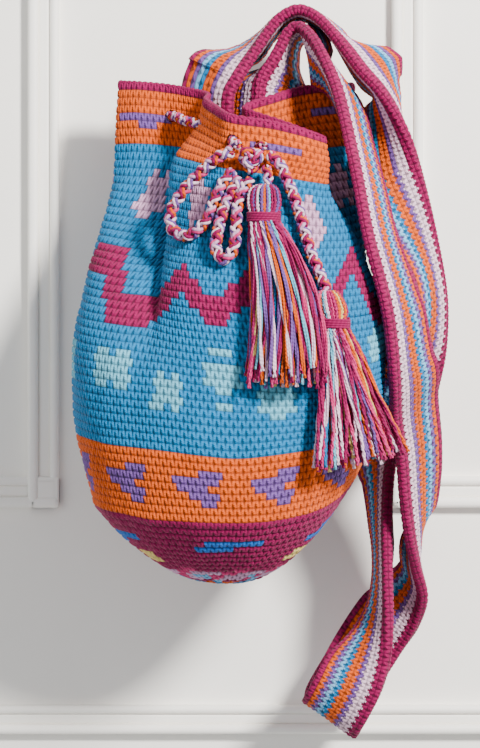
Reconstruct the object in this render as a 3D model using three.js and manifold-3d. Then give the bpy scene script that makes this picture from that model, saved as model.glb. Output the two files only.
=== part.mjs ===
// Crocheted mochila bag with its shoulder strap, drawstring and two tassels, hung by its rim.
// Millimetres, +Z up. The origin is the middle of the rim's back edge, where the bag hangs.
// Points are written [x, front, z]: front is the distance in front of the back panel, along -Y.
import * as THREE from 'three';
import { mergeVertices } from 'three/addons/utils/BufferGeometryUtils.js';
import Module from 'manifold-3d';

const wasm = await Module();
wasm.setup();

// Driving dimensions
const FABRIC = 4; // thickness of the crocheted wall
const GAP = 0.4; // air left between pieces that touch
const BASE_ROW = 55; // crochet rows from the rim to the edge of the base
const CENTRE_ROW = 73; // row count at the centre of the base
const CORD_RADIUS = 3.8; // braided drawstring
const EYELET_PLAY = 0.5; // the eyelets are this much wider than the cord, all round
const STRAP_HALF = 49; // half the strap's flat width: it hangs folded along its middle
const STRAP_THICK = 3.2;
const STRAP_FOLD = 2.1; // radius of the fold along the strap's middle
const THREAD_RADIUS = 0.9; // sewing yarn

const COLOURS = {
  turquoise: 0x28a8cc,
  magenta: 0xa81f66,
  cord: 0xd9a3b4,
  tassel: 0xc95f86,
  thread: 0x8f1a58,
};

function material(colour) {
  return new THREE.MeshStandardMaterial({ color: colour, roughness: 0.9, metalness: 0 });
}

function toVector([x, front, z]) {
  return new THREE.Vector3(x, -front, z);
}

// Smooth curve through points at uneven knots: the value at knot t, between points i and i + 1.
function smooth(points, knots, i, t) {
  const [a, b, c, d] = points.slice(i - 1, i + 3);
  const [ka, kb, kc, kd] = knots.slice(i - 1, i + 3);
  const mix = (p, q, kp, kq) => p.map((v, n) => (v * (kq - t) + q[n] * (t - kp)) / (kq - kp));
  const ab = mix(a, b, ka, kb);
  const bc = mix(b, c, kb, kc);
  const cd = mix(c, d, kc, kd);
  return mix(mix(ab, bc, ka, kc), mix(bc, cd, kb, kd), kb, kc);
}

// An open curve, with one mirrored point added at each end.
function openCurve(points, knots) {
  const last = points.length - 1;
  const mirror = (end, next) => end.map((v, n) => 2 * v - next[n]);
  const all = [mirror(points[0], points[1]), ...points, mirror(points[last], points[last - 1])];
  const ends = [2 * knots[0] - knots[1], ...knots, 2 * knots[last] - knots[last - 1]];
  return (t) => {
    let i = 1;
    while (i < last && t > ends[i + 1]) i += 1;
    return smooth(all, ends, i, t);
  };
}

// A closed loop through the points, with `steps` samples in each span.
function closedLoop(points, steps) {
  const count = points.length;
  const at = (i) => points[(i + count) % count];
  const samples = [];
  for (let i = 0; i < count; i += 1) {
    const four = [at(i - 1), at(i), at(i + 1), at(i + 2)];
    const knots = [0];
    for (let k = 0; k < 3; k += 1) {
      const chord = Math.hypot(...four[k + 1].map((v, n) => v - four[k][n]));
      knots.push(knots[k] + Math.sqrt(chord));
    }
    for (let s = 0; s < steps; s += 1) {
      samples.push(smooth(four, knots, 1, knots[1] + ((knots[2] - knots[1]) * s) / steps));
    }
  }
  return samples;
}

// ---- Bag body ---------------------------------------------------------------
// Each ring names the crochet row it follows and 22 places round it: from the middle of the back
// to the left corner, the left ear, the left valley, the front pleat, the right valley, the right
// ear, the right corner and back again.
const RINGS = [
  { row: 0, places: [
    [8, 0, -4], [-30, 0, -1], [-64, 0, 2], [-80, 8, 3], [-66, 17, 2], [-45, 19, 0],
    [-28, 28, -4], [-14, 44, -9], [-15, 60, -14], [-7, 82, -22], [4, 103, -30],
    [34, 106, -35], [66, 100, -43], [73, 89, -45], [44, 74, -33], [16, 58, -20],
    [39, 46, -10], [61, 26, -2], [86, 20, 1], [97, 9, 1], [84, 0, 1], [46, 0, -2]] },
  { row: 4, places: [
    [8, 0, -27], [-30, 0, -24], [-64, 0, -21], [-81, 11, -21], [-66, 22, -21], [-46, 23, -23],
    [-29, 29, -26], [-16, 43, -30], [-22, 58, -35], [-13, 82, -43], [3, 106, -52],
    [34, 109, -56], [68, 104, -62], [75, 92, -63], [46, 76, -52], [18, 58, -41],
    [41, 47, -32], [63, 31, -25], [86, 24, -22], [98, 11, -22], [84, 0, -23], [46, 0, -26]] },
  { row: 8.5, places: [
    [8, 0, -52], [-30, 0, -49], [-64, 0, -47], [-82, 12, -47], [-68, 24, -47], [-50, 26, -48],
    [-34, 31, -50], [-23, 44, -53], [-37, 62, -58], [-24, 88, -64], [1, 112, -71],
    [34, 114, -76], [66, 108, -81], [75, 95, -81], [53, 77, -74], [33, 60, -66],
    [52, 46, -58], [71, 35, -52], [90, 26, -49], [99, 12, -48], [86, 0, -48], [46, 0, -51]] },
  { row: 16, places: [
    [8, 0, -95], [-33, 0, -92], [-67, 1, -90], [-84, 16, -90], [-85, 36, -91], [-68, 50, -94],
    [-46, 55, -97], [-27, 56, -99], [-40, 80, -104], [-27, 108, -110], [1, 128, -114],
    [36, 131, -119], [72, 124, -121], [93, 106, -118], [88, 84, -112], [74, 66, -106],
    [84, 48, -101], [95, 36, -97], [102, 24, -95], [101, 11, -94], [86, 1, -93], [48, 0, -94]] },
  { row: 25, places: [
    [8, 0, -147], [-36, 0, -144], [-72, 5, -141], [-95, 28, -138], [-99, 58, -139],
    [-88, 84, -143], [-64, 95, -147], [-43, 94, -149], [-45, 111, -153], [-32, 133, -157],
    [0, 148, -161], [38, 150, -165], [76, 140, -166], [102, 116, -163], [111, 90, -158],
    [109, 68, -154], [108, 52, -151], [107, 38, -149], [103, 24, -147], [92, 9, -146],
    [72, 1, -146], [42, 0, -147]] },
  { row: 36, places: [
    [8, 0, -210], [-40, 1, -207], [-80, 14, -203], [-102, 41, -200], [-110, 75, -200],
    [-101, 107, -204], [-80, 128, -208], [-59, 139, -211], [-42, 149, -213], [-19, 158, -217],
    [8, 163, -220], [40, 162, -223], [74, 150, -222], [100, 127, -218], [114, 98, -213],
    [116, 74, -211], [114, 54, -210], [107, 34, -209], [94, 16, -209], [78, 4, -209],
    [58, 0, -209], [34, 0, -210]] },
  { row: 46, places: [
    [8, 0, -266], [-38, 2, -264], [-76, 16, -261], [-98, 43, -258], [-107, 77, -258],
    [-99, 110, -261], [-80, 134, -265], [-60, 148, -267], [-41, 158, -269], [-16, 167, -272],
    [10, 170, -274], [40, 168, -271], [72, 154, -266], [96, 131, -260], [108, 100, -254],
    [110, 76, -251], [107, 54, -251], [99, 34, -254], [86, 17, -258], [72, 6, -262],
    [54, 1, -264], [32, 0, -266]] },
  { row: BASE_ROW, places: [
    [6, 8, -312], [-36, 10, -312], [-68, 25, -311], [-87, 50, -309], [-94, 80, -309],
    [-88, 111, -311], [-72, 134, -314], [-54, 147, -317], [-36, 155, -318], [-12, 162, -319],
    [12, 164, -319], [40, 160, -317], [66, 146, -311], [85, 123, -300], [94, 97, -288],
    [96, 76, -284], [92, 55, -286], [84, 36, -292], [74, 23, -300], [60, 14, -306],
    [46, 9, -309], [26, 8, -311]] },
];
const BASE_CENTRE = [2, 86, -366];
const WALL_ROWS = [0, 2.5, 5.5, 8.5, 12, 16, 20.5, 25, 30.5, 36, 41, 46, 50.5];
const BASE_ROWS = [55, 58, 61.5, 65, 69];
const STEPS_PER_PLACE = 3;

const ringRows = RINGS.map((ring) => ring.row);
const placeCurves = RINGS[0].places.map((_, i) =>
  openCurve(RINGS.map((ring) => ring.places[i]), ringRows));

// The base bulges down like a shallow bowl from its edge to its centre.
function baseRing(row) {
  const part = (CENTRE_ROW - row) / (CENTRE_ROW - BASE_ROW);
  const spread = Math.pow(part, 0.92);
  const rise = Math.pow(part, 1.9);
  return closedLoop(placeCurves.map((curve) => curve(BASE_ROW)), STEPS_PER_PLACE).map((edge) =>
    edge.map((v, n) => BASE_CENTRE[n] + (v - BASE_CENTRE[n]) * (n === 2 ? rise : spread)));
}

function bodyRings() {
  const wall = WALL_ROWS.map((row) =>
    closedLoop(placeCurves.map((curve) => curve(row)), STEPS_PER_PLACE));
  return [...wall, ...BASE_ROWS.map(baseRing)].map((ring) => ring.map(toVector));
}

// Outward direction at each point of a grid of rings that ends in one pole.
function gridNormals(rings, pole) {
  return rings.map((ring, r) => ring.map((point, i) => {
    const count = ring.length;
    const along = ring[(i + 1) % count].clone().sub(ring[(i + count - 1) % count]);
    const below = r + 1 < rings.length ? rings[r + 1][i] : pole;
    const above = r > 0 ? rings[r - 1][i] : point;
    return below.clone().sub(above).cross(along).normalize();
  }));
}

function meshFrom(points, faces) {
  const geometry = new THREE.BufferGeometry();
  geometry.setAttribute('position', new THREE.Float32BufferAttribute(
    points.flatMap((p) => [p.x, p.y, p.z]), 3));
  geometry.setIndex(faces.flat());
  return geometry;
}

function bodyShell() {
  const outer = bodyRings();
  const pole = toVector(BASE_CENTRE);
  const normals = gridNormals(outer, pole);
  const inner = outer.map((ring, r) => ring.map((p, i) =>
    p.clone().addScaledVector(normals[r][i], -FABRIC)));
  const innerPole = pole.clone().add(new THREE.Vector3(0, 0, FABRIC));
  const count = outer[0].length;
  const levels = outer.length;
  const points = [...outer.flat(), ...inner.flat(), pole, innerPole];
  const half = levels * count;
  const faces = [];
  const quad = (a, b, c, d) => faces.push([a, b, c], [a, c, d]);
  for (let i = 0; i < count; i += 1) {
    const j = (i + 1) % count;
    for (let r = 0; r + 1 < levels; r += 1) {
      const top = r * count;
      const low = top + count;
      quad(top + i, low + i, low + j, top + j);
      quad(half + top + i, half + top + j, half + low + j, half + low + i);
    }
    const edge = (levels - 1) * count;
    faces.push([edge + i, 2 * half, edge + j]);
    faces.push([half + edge + i, half + edge + j, 2 * half + 1]);
    quad(i, j, half + j, half + i);
  }
  return meshFrom(points, faces);
}

// ---- Cords ------------------------------------------------------------------
// The drawstring runs inside the wall, comes out over the left valley, goes round the back outside,
// and comes out again on each side of the bow.
const DRAWSTRING = [
  [11, 119, -53], [6, 110, -50], [7, 96, -46], [4, 82, -42], [-6, 71, -37], [-19, 62, -33],
  [-30, 47, -29], [-36, 32, -25], [-43, 17, -23], [-54, 12, -22], [-64, 6, -22], [-66, -3, -23],
  [-56, -5.5, -25], [-30, -5.2, -28], [8, -5.2, -31], [50, -5.2, -28], [78, -5.2, -25],
  [86, -1, -24], [87, 8, -24], [80, 14.5, -25], [67, 19, -26], [56, 24.5, -29], [47, 34, -33],
  [44, 48, -38], [46, 62, -44], [45, 78, -50], [36, 90, -54], [28, 99, -54], [26, 110, -53],
  [28, 119, -53],
];
const KNOT_CENTRE = [19, 123, -63];
const KNOT_RADII = [9.5, 8, 10.5];
const LEFT_LOOP = [
  [6.5, 121, -57], [-2, 119, -60], [-16, 113, -71], [-30, 110, -86], [-38, 107, -100],
  [-37, 110, -112], [-25, 121, -117], [-12, 127, -106], [-6, 126, -91], [0, 125, -79],
  [7, 124.5, -71],
];
const LOWER_LOOP = [
  [11.5, 127, -76.5], [6, 129, -86], [0, 132, -99], [-4, 136, -114], [-5.5, 140.5, -128],
  [0, 144, -135], [6.5, 144, -128], [8.5, 141, -112], [9.5, 136, -98], [13, 131, -87],
  [19, 128.5, -77],
];
const UPPER_END = [[29, 126, -68.5], [31, 129, -73], [31, 132, -79]];
const LOWER_END = [
  [31, 122, -59], [38, 122, -65], [45, 125, -79], [51, 129, -95], [56, 134, -112],
  [61, 140, -130], [67, 146, -145], [71, 149, -155],
];

function cordPath(route) {
  return new THREE.CatmullRomCurve3(route.map(toVector), false, 'centripetal');
}

function roundShape(radius, sides) {
  const points = [];
  for (let i = 0; i < sides; i += 1) {
    const turn = (2 * Math.PI * i) / sides;
    points.push(new THREE.Vector2(radius * Math.cos(turn), radius * Math.sin(turn)));
  }
  return new THREE.Shape(points);
}

function tube(route, radius, steps, sides = 8) {
  return new THREE.ExtrudeGeometry(roundShape(radius, sides), {
    steps,
    bevelEnabled: false,
    extrudePath: cordPath(route),
  });
}

function ball(centre, radii) {
  const geometry = new THREE.SphereGeometry(1, 16, 10);
  geometry.scale(radii[0], radii[1], radii[2]);
  const place = toVector(centre);
  return geometry.translate(place.x, place.y, place.z);
}

// ---- Strap ------------------------------------------------------------------
// One flat band, folded along its middle like a roof. Each station gives the ridge of the fold and
// the directions in which half A and half B lie from it. The route goes from the left end, sewn
// inside the mouth, over the hanging point, down to the bottom loop, and back to the right end.
const STATIONS = [
  { ridge: [6, 41, -47], a: [-35, -34, 0], b: [-39, -30, 0] },
  { ridge: [5, 42, -13], a: [-35, -34, 0], b: [-38, -31, 0] },
  { ridge: [11, 42, 1], a: [-25, -43, 4], b: [-42, -24, 10] },
  { ridge: [18, 40, 13], a: [-14, -47, 2], b: [-36, -32, 10] },
  { ridge: [25, 38, 26], a: [0, -49, -2], b: [-16, -46, 4] },
  { ridge: [33, 37, 39], a: [1, -49, -3], b: [-5, -49, 2] },
  { ridge: [42, 37, 49], a: [0, -49, -4], b: [-2, -49, 2] },
  { ridge: [54, 39, 54], a: [0, -49, -4], b: [0, -50, 0] },
  { ridge: [66, 43, 49], a: [4, -49, -1], b: [8, -48, 1] },
  { ridge: [77, 51, 37], a: [3, -49, 0], b: [14, -47, 0] },
  { ridge: [88, 60, 21], a: [0, -49, 0], b: [35, -34, 2] },
  { ridge: [99, 68, 5], a: [0, -49, 0], b: [34, -34, 9] },
  { ridge: [112, 72, -9], a: [-4, -49, 0], b: [24, -43, 6] },
  { ridge: [124, 69, -25], a: [-20, -45, -6], b: [12, -48, 2] },
  { ridge: [136, 62, -48], a: [-42, -24, 0], b: [-12, -48, 0] },
  { ridge: [147, 48, -80], a: [-45, 18, 0], b: [-36, -34, 0] },
  { ridge: [156, 37, -116], a: [-34, 36, 0], b: [-40, -30, 0] },
  { ridge: [163, 33, -158], a: [-26, 42, 0], b: [-42, -26, 0] },
  { ridge: [163, 24, -196], a: [-34, 36, 0], b: [-45, -22, 0] },
  { ridge: [158, 13, -226], a: [-46, -16, 0], b: [-46, -18, 0] },
  { ridge: [147, 9, -248], a: [-46, -18, 0], b: [-42, -26, 0] },
  { ridge: [133, 12, -267], a: [-30, -40, 0], b: [-24, -44, 0] },
  { ridge: [124, 22, -285], a: [-14, -47, 0], b: [-6, -49, 0] },
  { ridge: [120, 38, -323], a: [-8, -49, 0], b: [4, -49, 0] },
  { ridge: [120, 45, -364], a: [-8, -49, 0], b: [0, -50, 0] },
  { ridge: [121, 49, -396], a: [-20, -45, 3], b: [-14, -47, 2] },
  { ridge: [120, 50, -423], a: [-38, -31, 6], b: [-30, -39, 5] },
  { ridge: [114, 48, -447], a: [-46, -14, 12], b: [-43, -23, 11] },
  { ridge: [105, 42, -467], a: [-43, -5, 25], b: [-42, -12, 24] },
  { ridge: [98, 30, -481], a: [-41, 0, 31], b: [-40, -4, 29] },
  { ridge: [99, 14, -482], a: [-41, 3, 31], b: [-40, 7, 29] },
  { ridge: [105, -4, -469], a: [-43, -4, 24], b: [-42, 6, 23] },
  { ridge: [116, -12, -450], a: [-48, -8, 9], b: [-46, 6, 8] },
  { ridge: [131, -13, -426], a: [-45, -22, 2], b: [-46, -10, 2] },
  { ridge: [143, 1, -405], a: [-30, -40, 0], b: [-36, -34, 0] },
  { ridge: [148, 18, -382], a: [-4, -49, 0], b: [-10, -49, 0] },
  { ridge: [141, 36, -358], a: [10, -49, 0], b: [4, -50, 0] },
  { ridge: [135, 51, -337], a: [22, -45, 0], b: [12, -49, 0] },
  { ridge: [130, 61, -307], a: [30, -40, 0], b: [18, -46, 0] },
  { ridge: [127, 71, -278], a: [32, -38, 0], b: [20, -45, 0] },
  { ridge: [122, 88, -248], a: [32, -38, 0], b: [16, -47, 0] },
  { ridge: [120, 108, -220], a: [31, -39, 0], b: [14, -48, 0] },
  { ridge: [117, 118, -191], a: [30, -40, 0], b: [15, -47, 0] },
  { ridge: [112, 124, -162], a: [28, -42, 0], b: [16, -47, 0] },
  { ridge: [101, 123, -117], a: [24, -44, 0], b: [10, -49, 0] },
  { ridge: [94, 114, -77], a: [21, -45, 0], b: [8, -49, 0] },
  { ridge: [87, 100, -40], a: [18, -46, 0], b: [6, -50, 0] },
  { ridge: [80, 86, -8], a: [16, -46, 0], b: [2, -49, 0] },
  { ridge: [71, 73, 17], a: [6, -49, 0], b: [-4, -49, 0] },
  { ridge: [63, 59, 33], a: [-8, -47, -4], b: [-11, -47, -5] },
  { ridge: [54, 48, 41], a: [-6, -48, -9], b: [-4, -46, -16] },
  { ridge: [46, 45, 36], a: [-1, -49, -4], b: [4, -48, -12] },
  { ridge: [40, 44, 25], a: [3, -49, 0], b: [14, -46, -6] },
  { ridge: [34, 44, 15], a: [2, -49, 0], b: [33, -35, 0] },
  { ridge: [28, 44, 5], a: [-12, -47, 0], b: [36, -32, 0] },
  { ridge: [25, 44, -7], a: [-31, -37, 0], b: [35, -34, 0] },
  { ridge: [24, 43, -47], a: [-35, -33, 0], b: [35, -34, 0] },
];
const STEPS_PER_STATION = 2;

function strapFrames() {
  const knots = STATIONS.map((_, i) => i);
  const ridge = openCurve(STATIONS.map((s) => s.ridge), knots);
  const sideA = openCurve(STATIONS.map((s) => s.a), knots);
  const sideB = openCurve(STATIONS.map((s) => s.b), knots);
  const frames = [];
  const last = STATIONS.length - 1;
  for (let s = 0; s <= last * STEPS_PER_STATION; s += 1) {
    const t = s / STEPS_PER_STATION;
    const ahead = toVector(ridge(Math.min(t + 0.05, last)));
    const along = ahead.sub(toVector(ridge(Math.max(t - 0.05, 0)))).normalize();
    const flat = (side) => {
      const v = toVector(side(t));
      return v.addScaledVector(along, -v.dot(along)).normalize();
    };
    frames.push({ ridge: toVector(ridge(t)), a: flat(sideA), b: flat(sideB) });
  }
  return frames;
}

// The strap's cross-section at one frame: its outside from edge A round the fold to edge B, and
// then its inside back again.
function strapSection({ ridge, a, b }) {
  const open = a.clone().add(b).normalize();
  const across = b.clone().sub(a);
  across.addScaledVector(open, -across.dot(open)).normalize();
  const outward = (side, sign) => {
    const n = across.clone().multiplyScalar(sign);
    return n.addScaledVector(side, -n.dot(side)).normalize();
  };
  const outA = outward(a, -1);
  const outB = outward(b, 1);
  const centre = ridge.clone().addScaledVector(open, STRAP_FOLD);
  const shoulderA = centre.clone().addScaledVector(outA, STRAP_FOLD);
  const shoulderB = centre.clone().addScaledVector(outB, STRAP_FOLD);
  const reach = STRAP_HALF - 1.57 * STRAP_FOLD;
  const line = [
    { at: shoulderA.clone().addScaledVector(a, reach), out: outA },
    { at: shoulderA, out: outA },
    { at: ridge, out: open.clone().negate() },
    { at: shoulderB, out: outB },
    { at: shoulderB.clone().addScaledVector(b, reach), out: outB },
  ];
  const shifted = (d) => line.map(({ at, out }) => at.clone().addScaledVector(out, d));
  return [...shifted(STRAP_THICK / 2), ...shifted(-STRAP_THICK / 2).reverse()];
}

// Closed solid through sections with the same number of points. From point `turned` on, the quads
// are split along their other diagonal, so that the two faces of a twisted sheet run side by side.
function loft(sections, turned = Infinity) {
  const count = sections[0].length;
  const levels = sections.length;
  const faces = [];
  for (let s = 0; s + 1 < levels; s += 1) {
    for (let i = 0; i < count; i += 1) {
      const j = (i + 1) % count;
      const low = s * count;
      const top = low + count;
      if (i < turned) faces.push([low + i, top + j, low + j], [low + i, top + i, top + j]);
      else faces.push([low + i, top + i, low + j], [low + j, top + i, top + j]);
    }
  }
  return { points: sections.flat(), faces, count, levels };
}

function strapSolid() {
  const { points, faces, count, levels } = loft(strapFrames().map(strapSection), 5);
  const end = (levels - 1) * count;
  for (let i = 0; i + 1 < count / 2; i += 1) {
    const j = count - 1 - i;
    faces.push([i, j - 1, j], [i, i + 1, j - 1]);
    faces.push([end + i, end + j, end + j - 1], [end + i, end + j - 1, end + i + 1]);
  }
  return meshFrom(points, faces);
}

// Sewing yarn that runs up and down between the strap and the wall.
function seam(x, front, top, bottom) {
  const stitches = 7;
  const reach = 3.5;
  const route = [];
  for (let i = 0; i <= stitches; i += 1) {
    const z = top + ((bottom - top) * i) / stitches;
    route.push([x + (i % 2 ? reach : -reach), front, z]);
  }
  return tube(route, THREAD_RADIUS, 28, 6);
}

// ---- Tassels ----------------------------------------------------------------
// Each ring gives the bundle's centre, its half width and half depth, and how far its width turns
// back from the X axis on the right, in degrees.
const UPPER_TASSEL = [
  { centre: [29, 135, -82], wide: 5, deep: 5, turn: 0 },
  { centre: [28, 136, -86], wide: 11, deep: 9, turn: 0 },
  { centre: [28, 138, -95], wide: 12.5, deep: 10, turn: 0 },
  { centre: [28, 140, -101], wide: 11, deep: 9, turn: 0 },
  { centre: [28, 141, -105], wide: 10, deep: 8, turn: 0 },
  { centre: [29, 143, -110], wide: 12, deep: 9, turn: 0 },
  { centre: [34, 152, -130], wide: 18, deep: 10, turn: 0 },
  { centre: [40, 164, -158], wide: 23, deep: 10, turn: 0 },
  { centre: [43, 173, -190], wide: 27, deep: 10, turn: 0 },
  { centre: [42, 178, -222], wide: 30, deep: 11, turn: 0 },
];
const LOWER_TASSEL = [
  { centre: [72, 151, -157], wide: 5, deep: 4, turn: 10 },
  { centre: [73, 152, -161], wide: 10, deep: 7, turn: 10 },
  { centre: [75, 153, -170], wide: 12, deep: 8, turn: 10 },
  { centre: [76, 154, -176], wide: 10, deep: 7, turn: 10 },
  { centre: [77, 155, -180], wide: 9.5, deep: 6.5, turn: 12 },
  { centre: [78, 156, -185], wide: 11, deep: 7, turn: 15 },
  { centre: [83, 158, -206], wide: 17, deep: 8, turn: 20 },
  { centre: [88, 160, -232], wide: 23, deep: 9, turn: 24 },
  { centre: [93, 161, -256], wide: 29, deep: 10, turn: 26 },
  { centre: [97, 161, -276], wide: 34, deep: 10, turn: 26 },
];
const NECK_RING = 4;
const BINDING_RADIUS = 1.7;
const TASSEL_SIDES = 20;

function ellipse({ centre, wide, deep, turn }, grow) {
  const angle = THREE.MathUtils.degToRad(turn);
  const points = [];
  for (let i = 0; i < TASSEL_SIDES; i += 1) {
    const t = (2 * Math.PI * i) / TASSEL_SIDES;
    const x = (wide + grow) * Math.cos(t);
    const y = (deep + grow) * Math.sin(t);
    const place = toVector(centre);
    place.x += x * Math.cos(angle) - y * Math.sin(angle);
    place.y += x * Math.sin(angle) + y * Math.cos(angle);
    points.push(place);
  }
  return points;
}

function strands(rings) {
  const { points, faces, count, levels } = loft(rings.map((ring) => ellipse(ring, 0)));
  const top = points.length;
  points.push(toVector(rings[0].centre), toVector(rings[rings.length - 1].centre));
  for (let i = 0; i < count; i += 1) {
    const j = (i + 1) % count;
    const low = (levels - 1) * count;
    faces.push([top, i, j], [top + 1, low + j, low + i]);
  }
  return meshFrom(points, faces);
}

// Yarn wound round the neck, as one closed ring.
function binding(rings) {
  const neck = rings[NECK_RING];
  const grow = GAP + BINDING_RADIUS;
  const path = ellipse(neck, grow);
  const sides = 8;
  const centre = toVector(neck.centre);
  const points = [];
  for (const at of path) {
    const out = at.clone().sub(centre).normalize();
    for (let k = 0; k < sides; k += 1) {
      const t = (2 * Math.PI * k) / sides;
      const p = at.clone().addScaledVector(out, BINDING_RADIUS * Math.cos(t));
      p.z += BINDING_RADIUS * Math.sin(t);
      points.push(p);
    }
  }
  const faces = [];
  for (let i = 0; i < path.length; i += 1) {
    for (let k = 0; k < sides; k += 1) {
      const a = i * sides;
      const b = ((i + 1) % path.length) * sides;
      const m = (k + 1) % sides;
      faces.push([a + k, b + k, b + m], [a + k, b + m, a + m]);
    }
  }
  return meshFrom(points, faces);
}

// ---- Solids -----------------------------------------------------------------
function toManifold(geometry) {
  const bare = geometry.clone();
  bare.deleteAttribute('normal');
  bare.deleteAttribute('uv');
  const merged = mergeVertices(bare, 1e-4);
  return new wasm.Manifold(new wasm.Mesh({
    numProp: 3,
    vertProperties: new Float32Array(merged.attributes.position.array),
    triVerts: new Uint32Array(merged.index.array),
  }));
}

function fromManifold(solid) {
  const { vertProperties, triVerts } = solid.getMesh();
  const geometry = new THREE.BufferGeometry();
  geometry.setAttribute('position', new THREE.BufferAttribute(vertProperties, 3));
  geometry.setIndex(new THREE.BufferAttribute(triVerts, 1));
  return geometry;
}

// The wall, with an eyelet wherever the drawstring passes through it.
function bodySolid() {
  const wall = toManifold(bodyShell());
  const passage = toManifold(tube(DRAWSTRING, CORD_RADIUS + EYELET_PLAY, 90, 10));
  return fromManifold(wall.subtract(passage));
}

const bag = new THREE.Group();

function add(name, geometry, colour) {
  const mesh = new THREE.Mesh(geometry, material(colour));
  mesh.name = name;
  bag.add(mesh);
}

add('bag_body', bodySolid(), COLOURS.turquoise);
add('strap', strapSolid(), COLOURS.magenta);
add('strap_stitching_left', seam(-34, 6.3, -14, -44), COLOURS.thread);
add('strap_stitching_right', seam(-9, 6.3, -14, -44), COLOURS.thread);
add('drawstring', tube(DRAWSTRING, CORD_RADIUS, 80), COLOURS.cord);
add('bow_knot', ball(KNOT_CENTRE, KNOT_RADII), COLOURS.cord);
add('bow_loop_left', tube(LEFT_LOOP, CORD_RADIUS, 20), COLOURS.cord);
add('bow_loop_lower', tube(LOWER_LOOP, CORD_RADIUS, 20), COLOURS.cord);
add('drawstring_end_upper', tube(UPPER_END, CORD_RADIUS, 3), COLOURS.cord);
add('drawstring_end_lower', tube(LOWER_END, CORD_RADIUS, 12), COLOURS.cord);
add('tassel_upper_strands', strands(UPPER_TASSEL), COLOURS.tassel);
add('tassel_upper_binding', binding(UPPER_TASSEL), COLOURS.magenta);
add('tassel_lower_strands', strands(LOWER_TASSEL), COLOURS.tassel);
add('tassel_lower_binding', binding(LOWER_TASSEL), COLOURS.magenta);

export default bag;
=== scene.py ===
"""Looks of the crocheted mochila bag: its stitches, braids and tassel yarns, in the row frame."""
import math
import bpy
import numpy as np
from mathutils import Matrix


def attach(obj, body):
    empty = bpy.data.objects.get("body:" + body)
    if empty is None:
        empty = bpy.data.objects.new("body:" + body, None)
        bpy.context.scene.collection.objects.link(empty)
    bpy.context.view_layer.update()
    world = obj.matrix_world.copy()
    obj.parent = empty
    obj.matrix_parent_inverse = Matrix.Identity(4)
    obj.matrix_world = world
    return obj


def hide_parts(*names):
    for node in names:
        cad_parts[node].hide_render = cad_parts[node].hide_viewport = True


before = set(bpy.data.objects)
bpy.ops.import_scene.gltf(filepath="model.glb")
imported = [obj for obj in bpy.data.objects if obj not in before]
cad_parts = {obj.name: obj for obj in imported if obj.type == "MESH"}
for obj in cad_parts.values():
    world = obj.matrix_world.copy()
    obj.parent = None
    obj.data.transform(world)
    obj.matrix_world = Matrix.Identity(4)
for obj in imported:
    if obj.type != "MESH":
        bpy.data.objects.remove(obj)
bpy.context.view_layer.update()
rng = np.random.default_rng(7)

MM = 0.001
STITCHES = 110  # single crochets round the bag
WALL_ROWS = 55  # rows from the rim to the edge of the base
CENTRE_ROW = 73
STITCH_WIDE = 5.7  # mm
FABRIC = 3.5
STRAP_HALF = 49.0
STRAP_FOLD = 2.1
STRAP_THICK = 3.2
STRAP_STITCH = 6.0
STRAP_ROWS = 12  # in each half
EYELET_REACH = 4.5  # mm round the cord's middle line that are left open in the wall
WALL_COLUMNS = 660
BASE_COLUMNS = 440
LINING_COLUMNS = 220
RIM_COLUMNS = 880
SAMPLES_IN_ROW = 5
SPLIT_ROW = 27  # the wall is two pieces, above and below this row
CORNERS = ((0, 0), (1, 0), (1, 1), (0, 1))  # row and column step to each corner of a face

SRGB = {
    "turquoise": (0, 114, 168),
    "orange": (208, 82, 0),
    "magenta": (136, 0, 72),
    "lilac": (108, 72, 142),
    "pale_cyan": (96, 172, 198),
    "pale_pink": (196, 150, 184),
    "blue": (20, 96, 182),
    "cream": (222, 196, 112),
    "pink": (196, 44, 108),
    "white": (222, 188, 206),
    "pale_blue": (112, 172, 214),
}
NAMES = list(SRGB)


def linear(rgb):
    value = np.asarray(rgb, float) / 255
    return np.where(value < 0.04045, value / 12.92, ((value + 0.055) / 1.055) ** 2.4)


PALETTE = np.array([linear(SRGB[name]) for name in NAMES])


def ink(name):
    return NAMES.index(name)


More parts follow.
